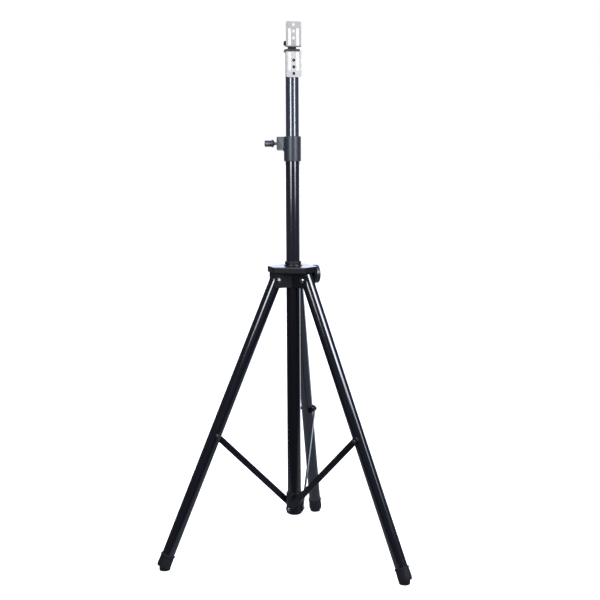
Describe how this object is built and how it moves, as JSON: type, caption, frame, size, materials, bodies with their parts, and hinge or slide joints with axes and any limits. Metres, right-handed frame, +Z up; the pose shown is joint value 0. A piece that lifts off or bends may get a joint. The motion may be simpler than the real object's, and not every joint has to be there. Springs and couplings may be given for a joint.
{
  "type": "loudspeaker tripod stand",
  "caption": "Folding tripod stand for a loudspeaker: tube legs on a sliding hub with flat braces, clamped telescopic mast and slotted angle brackets on top, the upper one tilting.",
  "frame": {"origin": "centre of the footprint on the floor", "axes": "+Z up along the pole, +Y towards the back leg, +X to the right"},
  "size_m": [0.6438, 0.5625, 1.361],
  "materials": {
    "gloss_black_paint": "glossy black paint",
    "satin_black_paint": "satin black paint",
    "zinc_plate": "bright zinc plating",
    "bright_steel": "nickel plated fasteners",
    "grey_black_plastic": "satin moulded plastic",
    "knob_plastic": "glossy moulded plastic",
    "black_rubber": "matte rubber"
  },
  "bodies": {
    "pole": {"main_tube": "gloss_black_paint", "lower_bracket": "satin_black_paint", "tube_end_plug": "grey_black_plastic", "collar_body": "grey_black_plastic", "collar_nut": "bright_steel", "collar_liner": "grey_black_plastic"},
    "clamp_slide": {"clamp_screw": "bright_steel"},
    "clamp_handle": {"clamp_knob": "knob_plastic"},
    "mast_guide": {"mast_bottom_plug": "grey_black_plastic"},
    "mast": {"mast_tube": "gloss_black_paint", "mast_top_plug": "grey_black_plastic", "lower_angle_bracket": "zinc_plate", "tilt_post": "satin_black_paint", "post_bolt": "bright_steel"},
    "tilting_head": {"upper_angle_bracket": "zinc_plate", "tilt_clevis": "satin_black_paint", "clevis_rivet_lower": "bright_steel", "clevis_rivet_upper": "bright_steel", "tilt_bolt": "satin_black_paint", "tilt_nut": "bright_steel", "tilt_washer_left": "satin_black_paint", "tilt_washer_right": "satin_black_paint"},
    "hub": {"hub_cap": "satin_black_paint", "hub_wall_back_left": "satin_black_paint", "hub_wall_front": "satin_black_paint", "hub_wall_back_right": "satin_black_paint", "hub_bush_upper": "grey_black_plastic", "hub_bush_lower": "grey_black_plastic", "hub_lock_nut": "bright_steel", "leg_bolt_back": "bright_steel", "leg_bolt_right": "bright_steel", "leg_bolt_left": "bright_steel", "leg_nut_back": "bright_steel", "leg_nut_right": "bright_steel", "leg_nut_left": "bright_steel"},
    "lock_slide": {"hub_lock_screw": "bright_steel"},
    "lock_handle": {"hub_lock_knob": "knob_plastic"},
    "leg_back": {"leg_tube_back": "gloss_black_paint", "foot_back": "black_rubber", "brace_bolt_back": "bright_steel", "brace_nut_back": "bright_steel", "brace_spacer_back": "satin_black_paint"},
    "brace_arm_back": {"brace_back": "satin_black_paint", "brace_low_bolt_back": "bright_steel"},
    "leg_right": {"leg_tube_right": "gloss_black_paint", "foot_right": "black_rubber", "brace_bolt_right": "bright_steel", "brace_nut_right": "bright_steel", "brace_spacer_right": "satin_black_paint"},
    "brace_arm_right": {"brace_right": "satin_black_paint", "brace_low_bolt_right": "bright_steel"},
    "leg_left": {"leg_tube_left": "gloss_black_paint", "foot_left": "black_rubber", "brace_bolt_left": "bright_steel", "brace_nut_left": "bright_steel", "brace_spacer_left": "satin_black_paint"},
    "brace_arm_left": {"brace_left": "satin_black_paint", "brace_low_bolt_left": "bright_steel"}
  },
  "joints": [
    {"name": "hub_slide", "type": "slide", "parent": "pole", "child": "hub", "axis": [0, 0, 1], "range_m": [0, 0.11675]},
    {"name": "mast_height", "type": "slide", "parent": "pole", "child": "mast_guide", "axis": [0, 0, 1], "range_m": [-0.135, 0.41]},
    {"name": "mast_turn", "type": "hinge", "parent": "mast_guide", "child": "mast", "pos_m": [0, -0.08416, 0.6], "axis": [0, 0, 1], "continuous": true},
    {"name": "head_tilt", "type": "hinge", "parent": "mast", "child": "tilting_head", "pos_m": [0, -0.08416, 1.308], "axis": [0.9272, 0.3746, 0], "range_deg": [-12, 12]},
    {"name": "clamp_travel", "type": "slide", "parent": "pole", "child": "clamp_slide", "axis": [-1, 0, 0], "range_m": [0, 0.00251]},
    {"name": "clamp_turn", "type": "hinge", "parent": "clamp_slide", "child": "clamp_handle", "pos_m": [-0.05, -0.08416, 1.063], "axis": [-1, 0, 0], "range_deg": [0, 720]},
    {"name": "lock_travel", "type": "slide", "parent": "hub", "child": "lock_slide", "axis": [0.866, 0.5, 0], "range_m": [0, 0.00251]},
    {"name": "lock_turn", "type": "hinge", "parent": "lock_slide", "child": "lock_handle", "pos_m": [0.05196, -0.05416, 0.733], "axis": [0.866, 0.5, 0], "range_deg": [0, 720]},
    {"name": "leg_fold_back", "type": "hinge", "parent": "hub", "child": "leg_back", "pos_m": [0, -0.03816, 0.723], "axis": [-1, 0, 0], "range_deg": [0, 23.26]},
    {"name": "brace_fold_back", "type": "hinge", "parent": "leg_back", "child": "brace_arm_back", "pos_m": [0, 0.12716, 0.33745], "axis": [1, 0, 0], "range_deg": [0, 58.94]},
    {"name": "leg_fold_right", "type": "hinge", "parent": "hub", "child": "leg_right", "pos_m": [0.03984, -0.10716, 0.723], "axis": [0.5, 0.866, 0], "range_deg": [0, 23.26]},
    {"name": "brace_fold_right", "type": "hinge", "parent": "leg_right", "child": "brace_arm_right", "pos_m": [0.183, -0.18981, 0.33745], "axis": [-0.5, -0.866, 0], "range_deg": [0, 58.94]},
    {"name": "leg_fold_left", "type": "hinge", "parent": "hub", "child": "leg_left", "pos_m": [-0.03984, -0.10716, 0.723], "axis": [0.5, -0.866, 0], "range_deg": [0, 23.26]},
    {"name": "brace_fold_left", "type": "hinge", "parent": "leg_left", "child": "brace_arm_left", "pos_m": [-0.183, -0.18981, 0.33745], "axis": [-0.5, 0.866, 0], "range_deg": [0, 58.94]}
  ],
  "couplings": [
    {"joint": "clamp_travel", "follows": "clamp_turn", "m_per_rad": 0.00019894},
    {"joint": "lock_travel", "follows": "lock_turn", "m_per_rad": 0.00019894},
    {"joint": "leg_fold_back", "follows": "hub_slide", "rad_per_m": 3.4694},
    {"joint": "brace_fold_back", "follows": "hub_slide", "rad_per_m": 8.8028},
    {"joint": "leg_fold_right", "follows": "hub_slide", "rad_per_m": 3.4694},
    {"joint": "brace_fold_right", "follows": "hub_slide", "rad_per_m": 8.8028},
    {"joint": "leg_fold_left", "follows": "hub_slide", "rad_per_m": 3.4694},
    {"joint": "brace_fold_left", "follows": "hub_slide", "rad_per_m": 8.8028}
  ]
}
